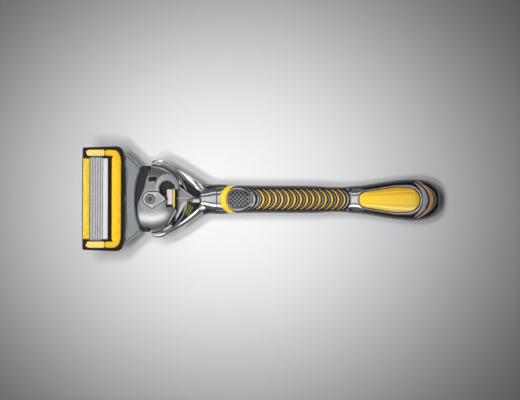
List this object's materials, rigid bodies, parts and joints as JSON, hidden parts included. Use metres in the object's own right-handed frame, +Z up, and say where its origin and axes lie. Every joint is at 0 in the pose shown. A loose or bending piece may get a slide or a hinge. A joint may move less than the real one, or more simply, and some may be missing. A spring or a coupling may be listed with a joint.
{
  "type": "cartridge razor",
  "caption": "Wet-shaving razor with a multi-blade cartridge that pitches on a sprung yoke, a swivelling pod held in a forked chrome neck, a ribbed rubber grip and a flared butt.",
  "frame": {"origin": "middle of the footprint, on the surface the razor lies on with its shaving face up", "axes": "+X from the cartridge to the butt, +Y across, +Z up, away from the surface"},
  "size_m": [0.1452, 0.0426, 0.0185],
  "materials": {
    "amber_lens": "domed clear coat over yellow",
    "black_plastic": "satin moulded",
    "black_rubber": "matt, finely textured",
    "bright_steel": "fine ground, polished edge",
    "chrome": "mirror plated",
    "copper_accent": "warm metallic",
    "dark_metal": "blackened",
    "gloss_black": "polished",
    "gold_clip": "bright folded sheet",
    "lubricating_strip": "speckled, slightly porous",
    "pale_plastic": "plain",
    "satin_chrome": "satin plated",
    "silver_plastic": "silver lacquer on plastic",
    "smoke_plastic": "smoky, half clear",
    "spring_steel": "drawn",
    "yellow_plastic": "gloss moulded"
  },
  "bodies": {
    "handle": {"handle_frame": "chrome", "swivel_pin": "bright_steel", "retaining_clip": "spring_steel", "thrust_washer": "pale_plastic", "grip_sleeve": "black_rubber", "front_crescent": "yellow_plastic", "thumb_pad": "silver_plastic", "thumb_pad_ring": "chrome", "rib_inlay_yellow": "yellow_plastic", "rib_inlay_silver": "silver_plastic", "waist_ring": "chrome", "butt_shell": "gloss_black", "butt_back": "black_rubber", "badge_bezel": "chrome", "badge_lens": "amber_lens", "butt_band": "satin_chrome", "butt_accent": "copper_accent"},
    "pod": {"pod_body": "black_plastic", "pod_cover": "satin_chrome", "dock_collar": "gloss_black", "window_ring": "chrome", "window_insert": "pale_plastic", "window_rod": "yellow_plastic", "return_leaf": "smoke_plastic", "plunger_spring": "spring_steel", "button_spring": "spring_steel"},
    "button": {"release_button": "chrome", "button_hub": "dark_metal", "ejector_arm": "silver_plastic"},
    "plunger": {"plunger": "silver_plastic"},
    "yoke": {"yoke": "silver_plastic", "pitch_pins": "bright_steel"},
    "cartridge": {"cartridge_housing": "black_plastic", "cap_strip": "lubricating_strip", "guard_strip": "yellow_plastic", "rubber_guard": "black_rubber", "comb_bar": "bright_steel", "blade_1": "bright_steel", "blade_2": "bright_steel", "blade_3": "bright_steel", "blade_4": "bright_steel", "blade_5": "bright_steel", "blade_support_1": "spring_steel", "blade_support_2": "spring_steel", "blade_support_3": "spring_steel", "blade_support_4": "spring_steel", "blade_support_5": "spring_steel", "end_clip_left": "gold_clip", "end_clip_right": "gold_clip", "trimmer_blade": "bright_steel"}
  },
  "joints": [
    {"name": "pod_swivel", "type": "hinge", "parent": "handle", "child": "pod", "pos_m": [-0.045, 0, 0.0094], "axis": [0, 0, 1], "range_deg": [-12, 12], "stiffness_Nm_per_rad": 0.03, "deforming": ["return_leaf"]},
    {"name": "button_slide", "type": "slide", "parent": "pod", "child": "button", "axis": [-1, 0, 0], "range_m": [0, 0.002], "stiffness_N_per_m": 400, "springref_m": -0.0005, "deforming": ["button_spring"]},
    {"name": "cartridge_release", "type": "slide", "parent": "pod", "child": "yoke", "axis": [-1, 0, 0], "range_m": [0, 0.014]},
    {"name": "cartridge_pitch", "type": "hinge", "parent": "yoke", "child": "cartridge", "pos_m": [-0.0594, 0, 0.011], "axis": [0, -1, 0], "range_deg": [0, 40], "stiffness_Nm_per_rad": 0.008, "springref_deg": -14.32},
    {"name": "plunger_slide", "type": "slide", "parent": "pod", "child": "plunger", "axis": [1, 0, 0], "range_m": [0, 0.0022], "deforming": ["plunger_spring"]}
  ],
  "couplings": [
    {"joint": "plunger_slide", "follows": "cartridge_pitch", "m_per_rad": 0.0029}
  ]
}
